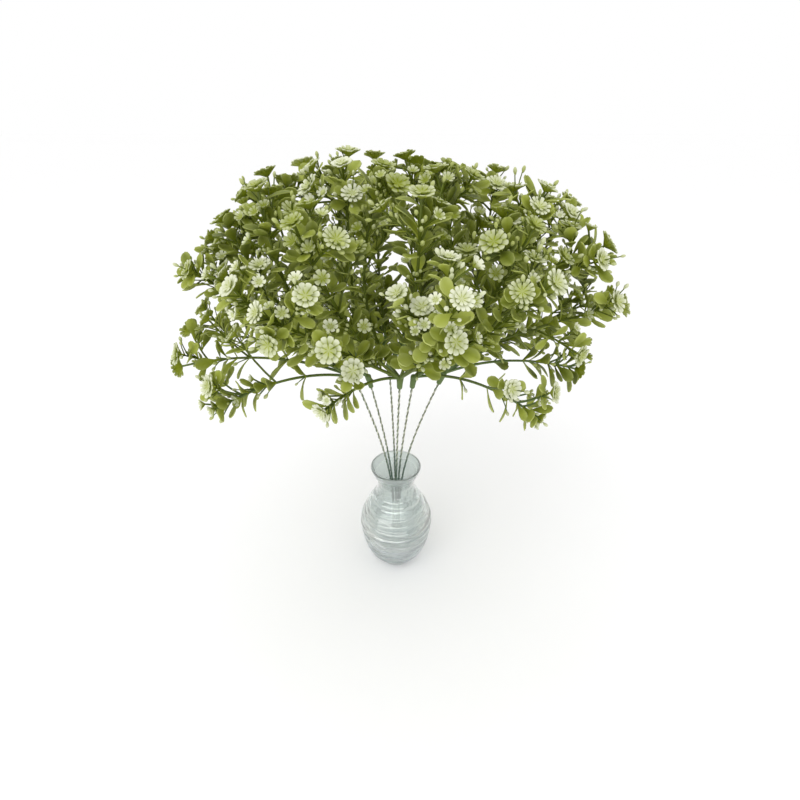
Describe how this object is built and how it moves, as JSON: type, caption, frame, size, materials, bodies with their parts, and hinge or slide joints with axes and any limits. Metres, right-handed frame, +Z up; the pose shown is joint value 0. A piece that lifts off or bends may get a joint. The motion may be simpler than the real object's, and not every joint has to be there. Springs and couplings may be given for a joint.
{
  "type": "gypsophila stems in a vase",
  "caption": "Bushy domed bunch of artificial gypsophila on thin wire stems, with round flower heads, buds and spoon-shaped leaves, standing in a small ribbed glass bud vase.",
  "frame": {"origin": "centre of the vase's flat foot", "axes": "+Z up along the vase's axis, -Y towards the front of the bunch, +X to its right"},
  "size_m": [0.3575, 0.2895, 0.3871],
  "materials": {
    "vase_glass": "clear, slightly milky grey-green pressed glass with a wet gloss",
    "coated_wire": "dull sage-green coating on florist's wire",
    "sprig_plastic": "moulded soft plastic, olive green, paler on flower heads and leaf rims, with a low sheen"
  },
  "bodies": {
    "root": {"vase": "vase_glass", "wire_1": "coated_wire", "spray_1": "sprig_plastic", "wire_2": "coated_wire", "spray_2": "sprig_plastic", "wire_3": "coated_wire", "spray_3": "sprig_plastic", "wire_4": "coated_wire", "spray_4": "sprig_plastic", "wire_5": "coated_wire", "spray_5": "sprig_plastic", "wire_6": "coated_wire", "spray_6": "sprig_plastic"}
  },
  "joints": []
}
